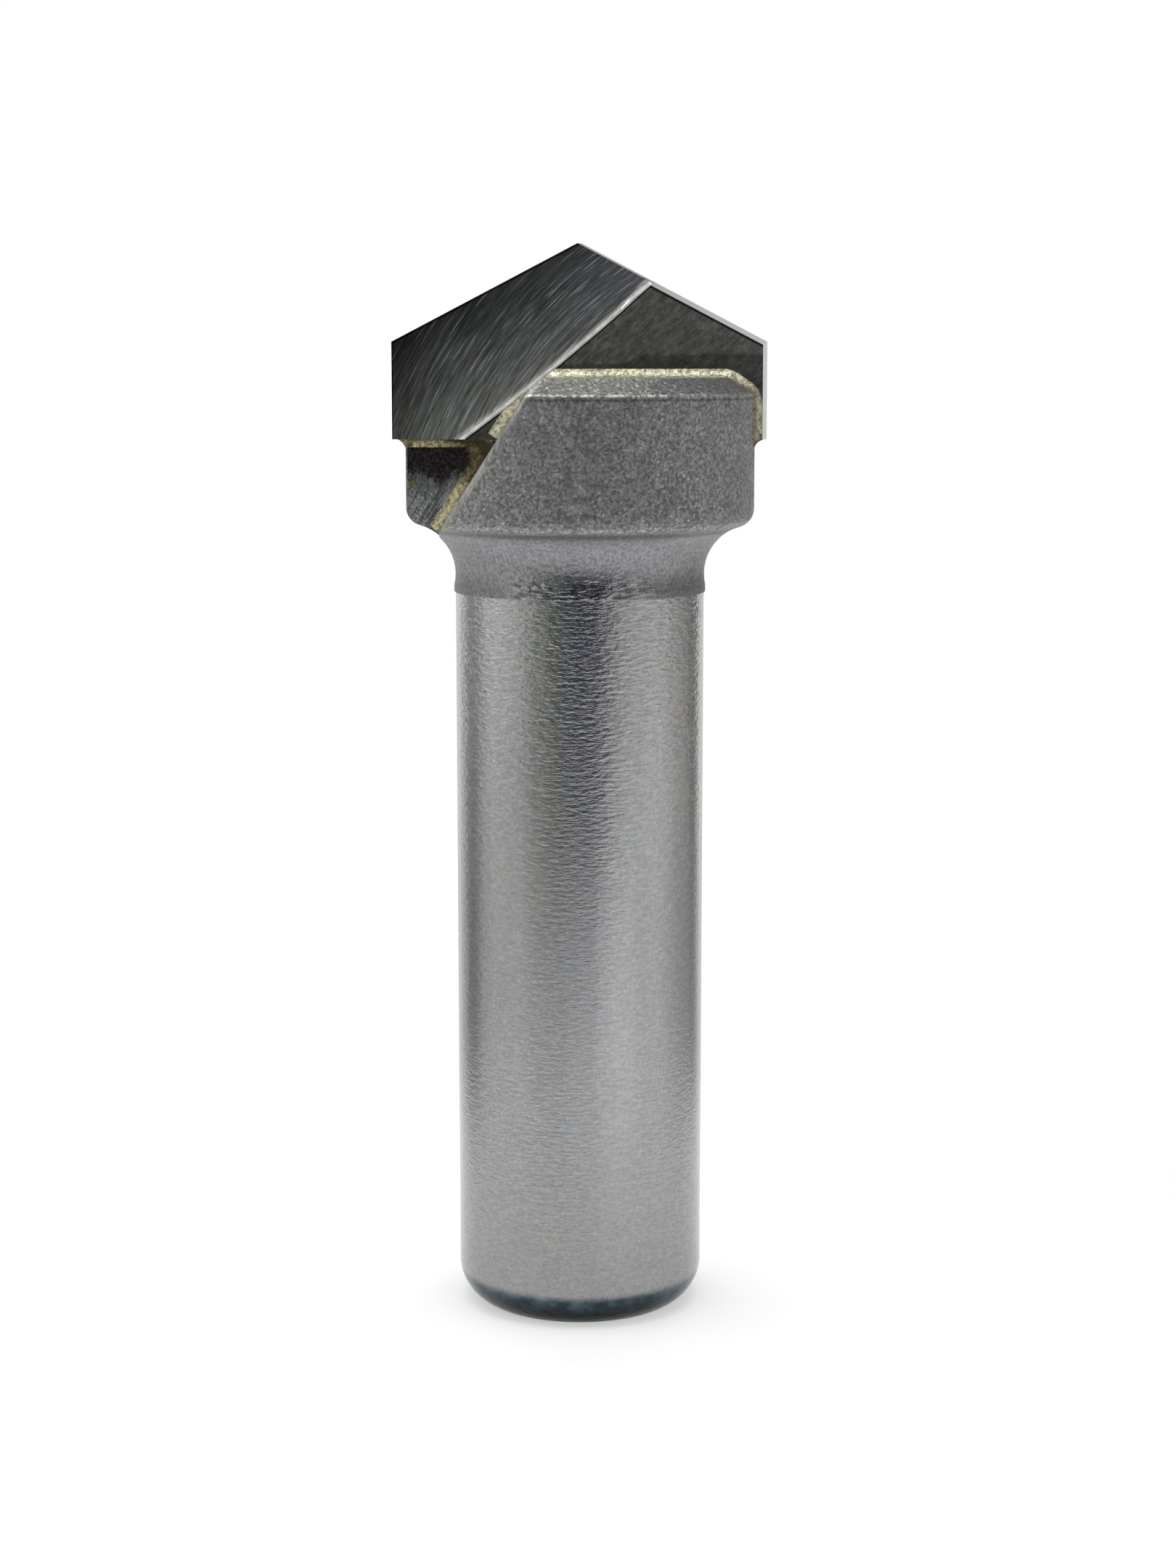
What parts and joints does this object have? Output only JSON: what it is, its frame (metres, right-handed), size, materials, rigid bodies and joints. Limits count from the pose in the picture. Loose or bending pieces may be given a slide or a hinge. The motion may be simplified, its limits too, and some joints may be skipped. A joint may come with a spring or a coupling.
{
  "type": "v groove router bit",
  "caption": "Router bit with a straight round shank, a round head and a house-shaped carbide plate across it that cuts a wide V groove.",
  "frame": {"origin": "centre of the flat end face of the shank", "axes": "+Z along the axis towards the cutting point, X along the carbide plate, front at -Y"},
  "size_m": [0.019, 0.0178, 0.0548],
  "materials": {
    "steel": "ground shank with a darkened end, grit-blasted neck and head",
    "carbide": "dark sintered carbide with ground rake faces and relief",
    "braze": "grainy silver braze"
  },
  "bodies": {
    "root": {"steel_body": "steel", "carbide_tip": "carbide", "braze_joint": "braze"}
  },
  "joints": []
}
